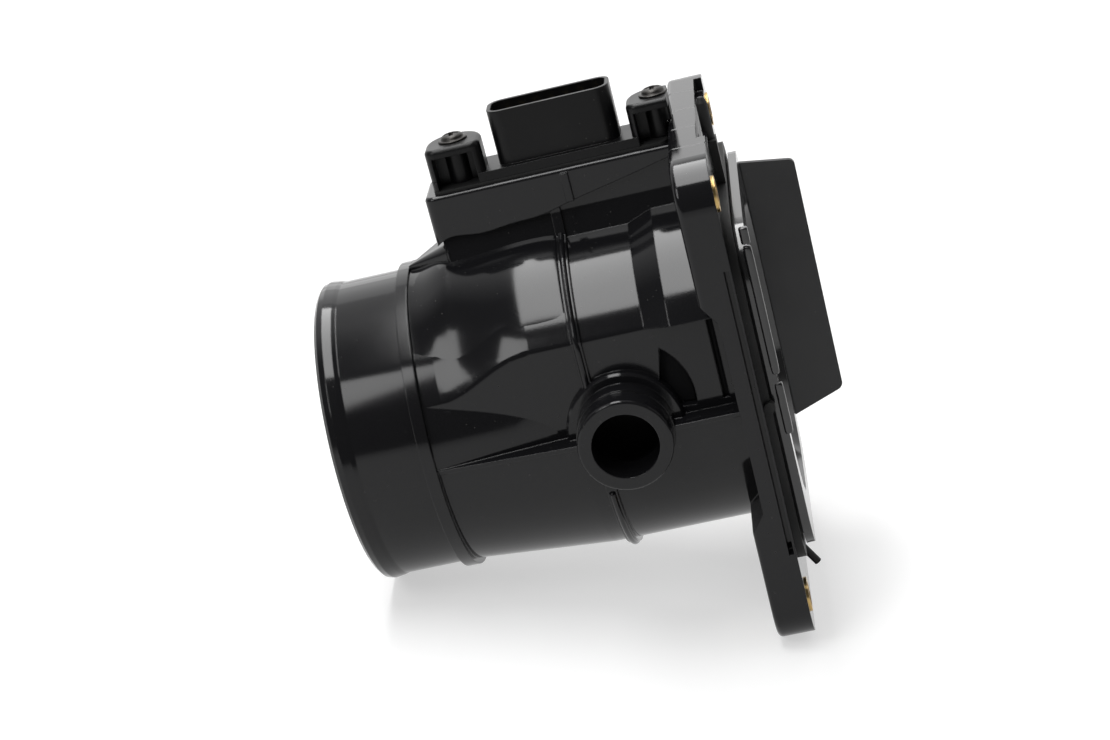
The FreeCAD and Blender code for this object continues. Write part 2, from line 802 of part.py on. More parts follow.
def module_screws():
    """Two pan-head screws with washer faces and a socket in the head."""
    screws = []
    for x in (screw_x0, screw_x1):
        seat = Vector(x, 0, post_top)
        washer = rod(seat, Z, screw_washer_d / 2, screw_washer_t)
        head = rod(seat + Z * screw_washer_t, Z, screw_head_d / 2, screw_head_h)
        crown = [e for e in head.Edges if e.BoundBox.ZMin > post_top + screw_washer_t + 0.1
                 and e.BoundBox.ZLength < 0.01]
        head = head.makeChamfer(screw_head_edge, crown)
        shank_len = post_h + insert_len - screw_end_gap
        shank = rod(seat, -Z, screw_d / 2, shank_len)
        recess = hex_socket(seat + Z * (screw_washer_t + screw_head_h))
        screws.append(joined([washer, head, shank]).cut(recess))
    return Part.makeCompound(screws)


def hex_socket(top):
    loop = []
    for i in range(7):
        a = math.radians(60 * i)
        loop.append(top + Vector(math.cos(a), math.sin(a), 0) * (screw_recess_d / 2))
    return Part.Face(Part.makePolygon(loop)).extrude(Vector(0, 0, -screw_recess_depth))


def screw_inserts():
    """Two brass inserts moulded into the platform."""
    inserts = []
    for x in (screw_x0, screw_x1):
        base = Vector(x, 0, platform_top - insert_len)
        sleeve = rod(base, Z, insert_d / 2, insert_len)
        inserts.append(sleeve.cut(rod(base - Z, Z, screw_d / 2 + thread_gap, insert_len + 2)))
    return Part.makeCompound(inserts)


def sensor_carrier():
    """The tray under the cover that holds the board, with a floor above the duct."""
    z0 = deck_z - carrier_depth
    tray = plan_block(carrier_x0, carrier_x1, -carrier_half, carrier_half, z0, platform_top,
                      carrier_corner)
    hollow = plan_block(carrier_x0 + carrier_wall, carrier_x1 - carrier_wall,
                        -carrier_half + carrier_wall, carrier_half - carrier_wall,
                        z0 + carrier_wall, platform_top + 1, inner_corner_r)
    ledges = []
    for x in (carrier_x0 + carrier_wall, carrier_x1 - carrier_wall - carrier_ledge):
        ledges.append(box(x, x + carrier_ledge, -carrier_half + carrier_wall, carrier_half - carrier_wall,
                          z0 + carrier_wall, board_z))
    holes = [rod(Vector(port_x, 0, z0 - 1), Z, port_d / 2, carrier_wall + 2),
             rod(Vector(thermistor_x, 0, z0 - 1), Z, thermistor_d / 2, carrier_wall + 2)]
    return joined([tray.cut(hollow)] + ledges).cut(Part.makeCompound(holes))


def circuit_board():
    half = carrier_half - carrier_wall - board_gap
    x0 = carrier_x0 + carrier_wall + board_gap
    x1 = carrier_x1 - carrier_wall - board_gap
    return plan_block(x0, x1, -half, half, board_z, board_z + board_t, inner_corner_r)


def pressure_port():
    """The small tube that brings the vortex pressure from the channel to its sensor."""
    z0 = channel_half_z
    z1 = board_z - chip_t
    tube = rod(Vector(port_x, 0, z0), Z, port_d / 2, z1 - z0)
    return tube.cut(rod(Vector(port_x, 0, z0 - 1), Z, port_bore_d / 2, z1 - z0 + 2))


def pressure_sensor():
    """The vortex pressure chip under the board, on the end of its tube."""
    half = carrier_half - carrier_wall - 2 * board_gap
    return box(port_x - half, port_x + half, -half, half, board_z - chip_t, board_z)


def barometric_sensor():
    half = carrier_half - carrier_wall - 2 * board_gap
    x = carrier_x1 - carrier_wall - carrier_ledge - chip_gap - half
    return box(x - half, x + half, -half, half, board_z - chip_t, board_z)


def air_temperature_sensor():
    """The thermistor's stalk and bulb, down into the bypass around the channel."""
    z1 = board_z - board_gap
    z0 = roof_r - duct_wall - thermistor_reach
    stalk = rod(Vector(thermistor_x, 0, z0), Z, thermistor_d / 2, z1 - z0)
    bulb = Part.makeCone(thermistor_d / 2, thermistor_d / 4, thermistor_d / 2,
                         Vector(thermistor_x, 0, z0), -Z)
    return stalk.fuse(bulb).removeSplitter()


def board_capacitors():
    """Two small capacitors on top of the board, outside the row of terminals."""
    blocks = []
    first = terminal_places()[0]
    for i, y in enumerate((-capacitor_y, capacitor_y)):
        x = first + (i + 2) * terminal_pitch
        blocks.append(box(x - capacitor_len / 2, x + capacitor_len / 2, y - capacitor_w / 2,
                          y + capacitor_w / 2, board_z + board_t,
                          board_z + board_t + capacitor_h))
    return Part.makeCompound(blocks)


save("duct_housing", duct_housing())
save("flange_bushings", flange_bushings())
save("inlet_gasket", inlet_gasket())
save("inlet_frame", inlet_frame())
save("flow_straightener", flow_straightener())
save("intake_guide", intake_guide())
save("vortex_channel", vortex_channel())
save("vortex_generator", vortex_generator())
save("vortex_stabiliser", vortex_stabiliser())
save("module_head", module_head())
save("module_seal", module_seal())
save("module_screws", module_screws())
save("screw_inserts", screw_inserts())
save("sensor_carrier", sensor_carrier())
save("circuit_board", circuit_board())
save("pressure_port", pressure_port())
save("pressure_sensor", pressure_sensor())
save("barometric_sensor", barometric_sensor())
save("air_temperature_sensor", air_temperature_sensor())
save("board_capacitors", board_capacitors())
for number, place in enumerate(terminal_places(), 1):
    save(f"terminal_{number}", terminal(place))
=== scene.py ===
import math

import bpy
import numpy as np
from mathutils import Matrix, Vector


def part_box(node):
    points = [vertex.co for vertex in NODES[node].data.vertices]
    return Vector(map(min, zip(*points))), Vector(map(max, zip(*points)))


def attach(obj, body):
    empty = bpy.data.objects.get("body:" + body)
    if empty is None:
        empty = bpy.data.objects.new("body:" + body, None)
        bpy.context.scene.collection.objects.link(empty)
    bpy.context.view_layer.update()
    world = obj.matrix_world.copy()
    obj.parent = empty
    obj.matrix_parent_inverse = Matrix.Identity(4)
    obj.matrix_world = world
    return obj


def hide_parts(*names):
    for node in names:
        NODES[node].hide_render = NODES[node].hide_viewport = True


bl_info = {
    "name": "Mass airflow sensor",
    "version": (1, 0, 0),
    "blender": (4, 5, 0),
    "location": "View3D > Sidebar > Airflow",
    "description": "Finishes and details of a mass airflow sensor, and the studio round it",
    "category": "Object",
}

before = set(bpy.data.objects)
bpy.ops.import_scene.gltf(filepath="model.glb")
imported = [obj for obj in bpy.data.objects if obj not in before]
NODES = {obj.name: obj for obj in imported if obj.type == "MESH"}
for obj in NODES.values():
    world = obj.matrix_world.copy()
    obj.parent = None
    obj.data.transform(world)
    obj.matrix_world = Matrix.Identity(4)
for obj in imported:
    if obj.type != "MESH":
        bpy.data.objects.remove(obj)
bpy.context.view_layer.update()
MM = 0.001

# Places on the housing, in millimetres in the shared frame
RING_X, RIB_X = -83.9, -43.3                # the roof's crown runs from stop ring to rib
NECK_X = -71.4                              # front of the platform's neck
LEAF_FLOOR, GROOVE_FLOOR = -34.0, -35.2     # y of the floors of the two recesses
LEAF_START, LEAF_RUN = (-25.35, 2.65), (3.2, 15.7)          # x, z of the leaf's straight edge
LEAF_ARC = ((-16.4, 1.95), (-17.6, 12.0), (-22.1, 18.35))   # x, z along its bowed edge
GROOVE_LEFT, GROOVE_RIGHT = (-9.3, 2.0), (-7.9, 2.0)        # x, z of the groove's low corners
GROOVE_RUN = (0.0, 22.0)

# The rib's beads: angles above the near side, radius of the rib, distance of the side's flat
RIB_BEADS = (((14, 80), 45.2, 37.8), ((100, 178), 45.2, 37.8), ((-178, -20), 44.2, None))

# The inlet frame's rounded bars: top and bottom of each, half their width in x and y, and
# their middle's offset from the frame's inlet face and from its near edge
BAR_SPANS = ((46.0, 41.8), (41.2, 7.2), (4.8, -9.0))
BAR_HALF = (1.15, 1.0)
BAR_OFFSET = (-0.1, 0.7)

# The cover screw in millimetres: radius and height of its dome, of its washer face, its shank
DOME_R, DOME_H, WASHER_R, WASHER_T, SHANK_R = 3.0, 1.3, 3.8, 0.5, 2.0

# The camera's fit to the photo, in metres, and the picture's shift as a share of its width
PIVOT = (-0.045, 0.0, 0.0)
AIM_RIGHT, AIM_UP = -0.01285, -0.00296
SHIFT_X, SHIFT_Y = 0.0071, 0.0306

# The part lies on the lower corner of its flange and on the outlet's bead, in metres
LOW_FLANGE, LOW_OUTLET = (-0.0095, 0.0, -0.0652), (-0.1071, 0.0, -0.0410)
FLOOR_HALF = 4.0

# Brightness of the floor's glow, of the room before the part and of the room's light on it.
# The room turns from dim to white as a ray's Y goes from the edge's first value to the second.
FLOOR_GLOW, ROOM_DIM, ROOM_FILL = 0.53, 0.12, 0.25
ROOM_EDGE = (-0.1, 0.3)

# Lamps: name, the setting with the watts, width, height, place and target in metres
LAMPS = (
    ("Overhead softbox", "top_power", 0.28, 1.3, (-0.115, 0.15, 1.0), (-0.115, 0.15, 0)),
    ("Window lamp", "window_power", 0.35, 0.4, (-0.42, -0.62, 0.72), (-0.09, -0.03, 0.03)),
    ("Back lamp", "back_power", 1.8, 1.2, (0.1, 1.5, 0.75), (0, 0, 0.1)),
    ("Inlet side lamp", "side_power", 0.9, 1.2, (1.4, 0.1, 0.5), (0, 0, 0)),
)

# Signs of handling: the dust's colour, how much dust and scuffs cover, how rough scuffs are
DUST_COLOUR = (0.30, 0.29, 0.27)
DUST_COVER, SCUFF_COVER, SCUFF_ROUGH = 0.16, 0.5, 0.2


# Settings

class AirflowFinish(bpy.types.PropertyGroup):
    housing_colour: bpy.props.FloatVectorProperty(
        name="Housing colour", description="Moulded duct and flange", subtype="COLOR",
        size=3, min=0.0, max=1.0, default=(0.0062, 0.0062, 0.0070))
    cover_colour: bpy.props.FloatVectorProperty(
        name="Cover colour", description="Sensor cover, its posts and the wiring socket",
        subtype="COLOR", size=3, min=0.0, max=1.0, default=(0.0040, 0.0040, 0.0043))
    guide_colour: bpy.props.FloatVectorProperty(
        name="Guide colour", description="Guide wall at the inlet", subtype="COLOR",
        size=3, min=0.0, max=1.0, default=(0.027, 0.027, 0.028))
    rubber_colour: bpy.props.FloatVectorProperty(
        name="Rubber colour", description="Gasket and seal", subtype="COLOR",
        size=3, min=0.0, max=1.0, default=(0.008, 0.008, 0.008))
    steel_colour: bpy.props.FloatVectorProperty(
        name="Screw colour", description="Dark plated screws", subtype="COLOR",
        size=3, min=0.0, max=1.0, default=(0.045, 0.043, 0.041))
    brass_colour: bpy.props.FloatVectorProperty(
        name="Brass colour", description="Bushings and inserts", subtype="COLOR",
        size=3, min=0.0, max=1.0, default=(0.62, 0.43, 0.17))
    housing_gloss: bpy.props.FloatProperty(
        name="Housing roughness", description="Lower is shinier", subtype="FACTOR",
        min=0.02, max=1.0, default=0.10)
    grain_size: bpy.props.FloatProperty(
        name="Grain size", description="Width of the moulding's fine grain in millimetres",
        min=0.1, max=3.0, default=0.5)


class AirflowStudio(bpy.types.PropertyGroup):
    camera_azimuth: bpy.props.FloatProperty(
        name="Camera azimuth", description="Turn of the view from the near side to the inlet",
        subtype="ANGLE", unit="ROTATION", default=math.radians(7.89))
    camera_elevation: bpy.props.FloatProperty(
        name="Camera elevation", description="Height of the view over the duct's axis",
        subtype="ANGLE", unit="ROTATION", default=math.radians(20.80))
    camera_roll: bpy.props.FloatProperty(
        name="Camera roll", description="Tilt of the picture", subtype="ANGLE",
        unit="ROTATION", default=math.radians(-14.93))
    camera_distance: bpy.props.FloatProperty(
        name="Camera distance", description="From the lens to the middle of the duct",
        subtype="DISTANCE", unit="LENGTH", default=0.64515)
    lens: bpy.props.FloatProperty(
        name="Lens", description="Focal length on a 36 mm sensor, in millimetres", default=78.65)
    floor_colour: bpy.props.FloatVectorProperty(
        name="Floor colour", description="Pale floor", subtype="COLOR", size=3,
        min=0.0, max=1.0, default=(0.50, 0.50, 0.50))
    top_power: bpy.props.FloatProperty(
        name="Overhead lamp", description="Watts of the long overhead softbox", min=0.0,
        default=12.0)
    window_power: bpy.props.FloatProperty(
        name="Window lamp", description="Watts of the small lamp at the outlet's side", min=0.0,
        default=3.0)
    back_power: bpy.props.FloatProperty(
        name="Back lamp", description="Watts of the broad low lamp behind", min=0.0,
        default=3.6)
    side_power: bpy.props.FloatProperty(
        name="Inlet side lamp", description="Watts of the lamp beyond the inlet", min=0.0,
        default=3.0)


# Mesh helpers

def grid_faces(rows, columns, close_u=False, close_v=False):
    """Quads of a grid of rows by columns points: point (i, j) joins (i+1, j), (i+1, j+1) and
    (i, j+1), counted round again where a direction is closed."""
    i = np.arange(rows if close_u else rows - 1)
    j = np.arange(columns if close_v else columns - 1)
    a, b = np.meshgrid(i, j, indexing="ij")
    a, b = a.ravel(), b.ravel()
    a1, b1 = (a + 1) % rows, (b + 1) % columns
    return np.stack([a * columns + b, a1 * columns + b, a1 * columns + b1, a * columns + b1], 1)


def tube(points, flip=False):
    """A closed form from rows by columns points: each row goes once round it, and the first
    and the last row are filled. The faces look outward where a row turns anticlockwise, seen
    the way the rows follow one another; flip is for rows that turn clockwise."""
    rows, columns = points.shape[:2]
    faces = grid_faces(rows, columns, close_v=True).tolist()
    faces.append(list(range(columns)))
    faces.append(list(range((rows - 1) * columns, rows * columns))[::-1])
    if flip:
        faces = [face[::-1] for face in faces]
    return points.reshape(-1, 3), faces


def mesh_piece(name, forms, material):
    """Makes one smooth object that rides on the body of several forms, each an array of
    points in millimetres and a list of faces."""
    points, faces, start = [], [], 0
    for form_points, form_faces in forms:
        points.append(form_points * MM)
        faces += [[i + start for i in face] for face in form_faces]
        start += len(form_points)
    mesh = bpy.data.meshes.new(name)
    mesh.from_pydata(np.concatenate(points).tolist(), [], faces)
    mesh.polygons.foreach_set("use_smooth", np.full(len(mesh.polygons), True))
    mesh.update()
    piece = bpy.data.objects.new(name, mesh)
    bpy.context.scene.collection.objects.link(piece)
    mesh.materials.append(material)
    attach(piece, "root")
    return piece


def rounded_bar(centre, half, ends=10, power=3.2, tip=0.02, rows=40, columns=28):
    """A bar along Z with a rounded-square section and rounded ends: at height share t from -1
    to 1 the section shrinks by (1 - |t|^ends)^(1/ends), to the share tip at both ends, and its
    outline is the superellipse |x/a|^power + |y/b|^power = 1."""
    turn = np.linspace(0.0, 2 * np.pi, columns, endpoint=False)
    t = np.sin(np.linspace(-np.pi / 2, np.pi / 2, rows))
    shrink = np.maximum(1.0 - np.abs(t) ** ends, 0.0) ** (1.0 / ends)
    shrink[[0, -1]] = tip
    c, s = np.cos(turn), np.sin(turn)
    x = np.sign(c) * np.abs(c) ** (2.0 / power) * half[0]
    y = np.sign(s) * np.abs(s) ** (2.0 / power) * half[1]
    points = np.empty((rows, columns, 3))
    points[..., 0] = centre[0] + shrink[:, None] * x
    points[..., 1] = centre[1] + shrink[:, None] * y
    points[..., 2] = centre[2] + t[:, None] * half[2]
    return tube(points, flip=True)


def screw_form(x, seat, foot, columns=144):
    """A screw round an upright axis: its outline runs from the foot up the shank, round the
    washer face and over a dome, height 1.3 (1 - (r/3)^2.6)^(1/2.6). A cross sinks into the
    dome: a slot is deep where the nearer of |x|, |y| is under its half width and the farther
    under half its length."""
    tip, round_power = 0.03, 2.6
    slot_half, slot_reach, slot_depth, side_slope, end_slope = 0.5, 1.75, 0.95, 0.16, 0.3
    inner = np.linspace(DOME_R, tip, 42)
    dome = WASHER_T + DOME_H * (1 - (inner / DOME_R) ** round_power) ** (1 / round_power)
    r = np.concatenate([[tip, 1.4, SHANK_R, SHANK_R, SHANK_R, WASHER_R - 0.1, WASHER_R,
                         WASHER_R, WASHER_R - 0.12, DOME_R + 0.12], inner])
    h = np.concatenate([[foot, foot, foot + 0.6, -2.0, 0.0, 0.0, 0.1, WASHER_T - 0.18,
                         WASHER_T - 0.05, WASHER_T], dome])
    turn = np.linspace(0.0, 2 * np.pi, columns, endpoint=False)
    px, py = r[:, None] * np.cos(turn), r[:, None] * np.sin(turn)
    near, far = np.minimum(abs(px), abs(py)), np.maximum(abs(px), abs(py))
    slot = (np.clip((slot_half - near) / side_slope + 0.5, 0, 1)
            * np.clip((slot_reach - far) / end_slope + 0.5, 0, 1))
    slot *= (np.arange(len(r)) >= len(r) - len(inner))[:, None]
    return tube(np.stack([x + px, py, seat + h[:, None] - slot_depth * slot], -1), flip=True)


def smooth_rise(value):
    """3 t^2 - 2 t^3 with t held between 0 and 1."""
    t = np.clip(value, 0.0, 1.0)
    return t * t * (3 - 2 * t)


def roof_crown(rows=110, columns=120):
    """The roof's crown between the stop ring, x0 = RING_X, and the body's rib, x1 = RIB_X,
    with its rows closest at the ring. The round under it has the radius
    40 + 4 s((x + 79) / 25), s being the smooth rise. The crown lifts it to the radius
    41 + 3.1 s((x - x0) / 11) + 1.3 s((x + 74) / 24) - 0.5 e^((x - x1) / 2), by a share that
    rises smoothly over the angle from 35 to 79 degrees above the side. Each section is closed
    by an arc 0.8 mm under the round, and its edges are sunk in the round by 0.15 mm."""
    sink, skin = 0.15, 0.8
    x = np.linspace(0, 1, rows) ** 1.5 * (RIB_X - RING_X) + RING_X
    angle = np.linspace(np.radians(35), np.radians(145), columns)
    up = np.degrees(np.pi / 2 - np.abs(angle - np.pi / 2))
    under = 40.0 + 4.0 * smooth_rise((x + 79.0) / 25.0)
    crown = (41.0 + 3.1 * smooth_rise((x - RING_X) / 11.0)
             + 1.3 * smooth_rise((x + 74.0) / 24.0) - 0.5 * np.exp((x - RIB_X) / 2.0))
    lift = (crown - under + sink)[:, None] * smooth_rise((up - 35) / 44)
    outer = under[:, None] - sink + lift
    inner = np.repeat(under[:, None] - skin, columns, 1)
    r = np.concatenate([outer, inner[:, ::-1]], 1)
    turn = np.concatenate([angle, angle[::-1]])
    return tube(np.stack([np.repeat(x[:, None], 2 * columns, 1), -r * np.cos(turn),
                          r * np.sin(turn)], -1))


def neck_fairing(rows=60, columns=72):
    """The wedge that leads from the stop ring up to the neck: at share t of its length it is
    0.5 + 8.4 t wide on each side and its top stands at 42.2 + 5.4 t. Each section is the upper
    half of the superellipse |y/a|^6 + |z/b|^6 = 1 on a base sunk in the roof at z = 38."""
    t = np.linspace(0, 1, rows)[:, None]
    turn = np.linspace(0, np.pi, columns)
    across = np.sign(np.cos(turn)) * np.abs(np.cos(turn)) ** (1 / 3)
    rise = np.abs(np.sin(turn)) ** (1 / 3)
    y = -(0.5 + 8.4 * t) * across
    z = 38.0 + (4.2 + 5.4 * t) * rise
    return tube(np.stack([np.broadcast_to(RING_X + (NECK_X - RING_X) * t, y.shape), y, z], -1))


def rib_bead(degrees, radius, side, x=-42.0, half=0.85, columns=20):
    """A round bead along the top of the body's rib, from one angle above the near side up to
    a greater one. The rib's outline is a circle of the radius, cut off at the side's flat: its
    distance r meets 1 / r^60 = 1 / radius^60 + (cos(angle) / side)^60. The bead's section is
    a circle centred 0.12 mm under that outline."""
    corner, sink = 60.0, 0.12
    angle = np.radians(np.linspace(*degrees, 160))
    flat = (np.abs(np.cos(angle)) / side) ** corner if side else 0.0
    r = (radius ** -corner + flat) ** (-1 / corner)
    path = np.stack([-r * np.cos(angle), r * np.sin(angle)], -1)
    along = np.gradient(path, axis=0)
    along /= np.linalg.norm(along, axis=1)[:, None]
    out = np.stack([-along[:, 1], along[:, 0]], -1)
    turn = np.linspace(0, 2 * np.pi, columns, endpoint=False)
    lift = half * np.sin(turn) - sink
    points = np.empty((len(path), columns, 3))
    points[..., 0] = x + half * np.cos(turn)
    points[..., 1:] = path[:, None] + out[:, None] * lift[None, :, None]
    return tube(points)


def recess_floor(left, right, y, rise=0.2, swell=0.25, columns=24):
    """A low pad on a recess floor at depth y, let into it by 0.2 mm. Rows run from left(i) to
    right(i), both arrays of (x, z); the pad stands rise off the floor, and swell more in its
    middle by sin(pi s) sin(pi t)."""
    s, t = np.linspace(0, 1, len(left))[:, None], np.linspace(0, 1, columns)[None, :]
    flat = left[:, None] + (right - left)[:, None] * t[..., None]
    height = rise + swell * np.sin(np.pi * s) * np.sin(np.pi * t)
    top = np.stack([flat[..., 0], y - height, flat[..., 1]], -1)
    base = np.stack([flat[..., 0], np.full_like(height, y + 0.2), flat[..., 1]], -1)
    return tube(np.concatenate([top, base[:, ::-1]], 1), flip=True)


def straight(start, run, count=40):
    """Points from the start along the run, in a plane."""
    return np.array(start) + np.linspace(0, 1, count)[:, None] * np.array(run)


def arc_through(a, b, c, count=40):
    """Points along the circle through a, b and c, from a past b to c, in a plane."""
    a, b, c = map(np.asarray, (a, b, c))
    system = np.array([b - a, c - b]) * 2.0
    centre = np.linalg.solve(system, [b @ b - a @ a, c @ c - b @ b])
    turn = np.unwrap([np.arctan2(*(q - centre)[::-1]) for q in (a, b, c)])
    around = np.linspace(turn[0], turn[2], count)
    return centre + np.hypot(*(a - centre)) * np.stack([np.cos(around), np.sin(around)], -1)


# Shader helpers

def node_group(name, inputs, outputs):
    """A new shader group with float inputs {name: default} and outputs {name: socket type}."""
    group = bpy.data.node_groups.new(name, "ShaderNodeTree")
    for label, default in inputs.items():
        socket = group.interface.new_socket(label, in_out="INPUT", socket_type="NodeSocketFloat")
        socket.default_value = default
    for label, kind in outputs.items():
        group.interface.new_socket(label, in_out="OUTPUT", socket_type=kind)
    enter = group.nodes.new("NodeGroupInput")
    leave = group.nodes.new("NodeGroupOutput")
    return group, enter, leave


def add(tree, kind, values=None, **settings):
    """Adds a shader node, sets its properties and its inputs' values, by name or number."""
    node = tree.nodes.new(kind)
    for key, value in settings.items():
        setattr(node, key, value)
    for key, value in (values or {}).items():
        node.inputs[key].default_value = value
    return node


def math_node(tree, operation, a, b=0.0, clamp=False):
    """One Math node; a and b are sockets or numbers."""
    node = tree.nodes.new("ShaderNodeMath")
    node.operation = operation
    node.use_clamp = clamp
    for socket, value in zip(node.inputs, (a, b)):
        if isinstance(value, bpy.types.NodeSocket):
            tree.links.new(value, socket)
        else:
            socket.default_value = value
    return node.outputs[0]


def remap(tree, value, low, high, to_low=0.0, to_high=1.0):
    """Maps a value from the range low to high to another range, and holds it there."""
    node = add(tree, "ShaderNodeMapRange", {"From Min": low, "From Max": high,
                                            "To Min": to_low, "To Max": to_high})
    tree.links.new(value, node.inputs["Value"])
    return node.outputs["Result"]


def noise(tree, coords, size_mm, detail, rough):
    """Noise whose lumps are about size_mm wide."""
    node = add(tree, "ShaderNodeTexNoise", {"Scale": 1.0 / (size_mm * MM), "Detail": detail,
                                            "Roughness": rough})
    tree.links.new(coords, node.inputs["Vector"])
    return node.outputs["Fac"]


def grain_group():
    """Fine moulding grain on Object coordinates, 0 to 1: noise of the size and noise of a
    coarser one, added by their shares."""
    coarse_scale, fine_share, coarse_share = 0.22, 0.6, 0.4
    if "Moulding grain" in bpy.data.node_groups:
        return bpy.data.node_groups["Moulding grain"]
    group, enter, leave = node_group("Moulding grain", {"Size": 0.5}, {
        "Height": "NodeSocketFloat"})
    coords = add(group, "ShaderNodeTexCoord").outputs["Object"]
    scale = math_node(group, "DIVIDE", 1000.0, enter.outputs["Size"])
    fine = add(group, "ShaderNodeTexNoise", {"Detail": 2.0, "Roughness": 0.6})
    group.links.new(coords, fine.inputs["Vector"])
    group.links.new(scale, fine.inputs["Scale"])
    coarse = add(group, "ShaderNodeTexNoise", {"Detail": 2.0, "Roughness": 0.5})
    group.links.new(coords, coarse.inputs["Vector"])
    group.links.new(math_node(group, "MULTIPLY", scale, coarse_scale), coarse.inputs["Scale"])
    mixed = math_node(group, "ADD",
                      math_node(group, "MULTIPLY", fine.outputs["Fac"], fine_share),
                      math_node(group, "MULTIPLY", coarse.outputs["Fac"], coarse_share))
    group.links.new(mixed, leave.inputs["Height"])
    return group


def handling_group():
    """Signs of handling: Haze is a broad soft mask where a finger dulled the gloss, Scuff a
    sparse mask of fine short scratches, Dust a mask of tiny pale specks, all on Object
    coordinates."""
    if "Handling" in bpy.data.node_groups:
        return bpy.data.node_groups["Handling"]
    group, enter, leave = node_group("Handling", {"Amount": 1.0}, {
        "Haze": "NodeSocketFloat", "Scuff": "NodeSocketFloat", "Dust": "NodeSocketFloat"})
    coords = add(group, "ShaderNodeTexCoord").outputs["Object"]
    broad = noise(group, coords, size_mm=28.0, detail=4.0, rough=0.6)
    haze = remap(group, broad, 0.42, 0.72)
    stretch = add(group, "ShaderNodeMapping", {"Scale": (0.16, 1.0, 0.45),
                                               "Rotation": (0.4, 0.2, 0.6)})
    group.links.new(coords, stretch.inputs["Vector"])
    lines = noise(group, stretch.outputs["Vector"], size_mm=1.1, detail=3.0, rough=0.7)
    place = noise(group, coords, size_mm=17.0, detail=2.0, rough=0.5)
    scuff = math_node(group, "MULTIPLY", remap(group, lines, 0.66, 0.78),
                      remap(group, place, 0.5, 0.7))
    specks = add(group, "ShaderNodeTexVoronoi", {"Scale": 420.0})
    group.links.new(coords, specks.inputs["Vector"])
    dust = math_node(group, "MULTIPLY", remap(group, specks.outputs["Distance"], 0.09, 0.03),
                     remap(group, place, 0.42, 0.6))
    for label, value in (("Haze", haze), ("Scuff", scuff), ("Dust", dust)):
        group.links.new(math_node(group, "MULTIPLY", value, enter.outputs["Amount"]),
                        leave.inputs[label])
    return group


def mixed_colour(tree, factor, base, other):
    """Base where the factor is 0, the other where it is 1; both are sockets or colours."""
    node = tree.nodes.new("ShaderNodeMix")
    node.data_type = "RGBA"
    tree.links.new(factor, node.inputs[0])
    for socket, value in ((node.inputs[6], base), (node.inputs[7], other)):
        if isinstance(value, bpy.types.NodeSocket):
            tree.links.new(value, socket)
        else:
            socket.default_value = (*value, 1.0)
    return node.outputs[2]


def surface(name, colour, roughness, grain_mm, grain_depth, handling=1.0, metal=0.0,
            spread=0.06, pale=None, specular=0.5, edge_mm=0.0):
    """A Principled material: colour with dust and scuffs over it, roughness with haze in it,
    and a bump from the moulding grain, whose size and depth are in millimetres. The haze adds
    up to spread to the roughness, pale is the scuffs' colour, by default 1.8 times the colour
    plus 0.02, and edge_mm rounds the shading of sharp edges."""
    material = bpy.data.materials.new(name)
    material.use_nodes = True
    tree = material.node_tree
    shader = tree.nodes["Principled BSDF"]
    shader.inputs["Metallic"].default_value = metal
    shader.inputs["Specular IOR Level"].default_value = specular
    grain = add(tree, "ShaderNodeGroup", node_tree=grain_group())
    grain.inputs["Size"].default_value = grain_mm
    hand = add(tree, "ShaderNodeGroup", node_tree=handling_group())
    hand.inputs["Amount"].default_value = handling
    pale = pale or tuple(min(1.0, c * 1.8 + 0.02) for c in colour)
    dust = math_node(tree, "MULTIPLY", hand.outputs["Dust"], DUST_COVER)
    scuff = math_node(tree, "MULTIPLY", hand.outputs["Scuff"], SCUFF_COVER)
    tone = mixed_colour(tree, scuff, mixed_colour(tree, dust, colour, DUST_COLOUR), pale)
    tree.links.new(tone, shader.inputs["Base Color"])
    rough = math_node(tree, "ADD", roughness,
                      math_node(tree, "MULTIPLY", hand.outputs["Haze"], spread))
    scuffed = math_node(tree, "MULTIPLY", hand.outputs["Scuff"], SCUFF_ROUGH)
    rough = math_node(tree, "ADD", rough, scuffed, clamp=True)
    tree.links.new(rough, shader.inputs["Roughness"])
    bump = add(tree, "ShaderNodeBump", {"Strength": 1.0, "Distance": grain_depth * MM})
    tree.links.new(grain.outputs["Height"], bump.inputs["Height"])
    if edge_mm:
        edge = add(tree, "ShaderNodeBevel", {"Radius": edge_mm * MM}, samples=4)
        tree.links.new(edge.outputs["Normal"], bump.inputs["Normal"])
    tree.links.new(bump.outputs["Normal"], shader.inputs["Normal"])
    return material


def ear_lines(material):
    """Faint mould lines across the flange's top edge: a shallow groove wherever y is a whole
    number of 17.5 mm steps from 7 mm, on the flange's top only. A groove's half width is a
    share of the step."""
    first, step, half_width, depth = 7.0 * MM, 17.5 * MM, 0.03, 0.25 * MM
    top_from, top_to = 63.5 * MM, 64.5 * MM
    tree = material.node_tree
    shader = tree.nodes["Principled BSDF"]
    parts = add(tree, "ShaderNodeSeparateXYZ")
    tree.links.new(add(tree, "ShaderNodeTexCoord").outputs["Object"], parts.inputs[0])
    steps = math_node(tree, "DIVIDE", math_node(tree, "SUBTRACT", parts.outputs["Y"], first),
                      step)
    off = math_node(tree, "ABSOLUTE", math_node(tree, "SUBTRACT", steps,
                                                math_node(tree, "ROUND", steps)))
    groove = remap(tree, off, 0.0, half_width, 1.0, 0.0)
    top = remap(tree, parts.outputs["Z"], top_from, top_to)
    groove = math_node(tree, "MULTIPLY", groove, top)
    bump = add(tree, "ShaderNodeBump", {"Strength": 1.0, "Distance": depth}, invert=True)
    tree.links.new(groove, bump.inputs["Height"])
    before = shader.inputs["Normal"].links[0].from_socket
    tree.links.new(before, bump.inputs["Normal"])
    tree.links.new(bump.outputs["Normal"], shader.inputs["Normal"])
    return material


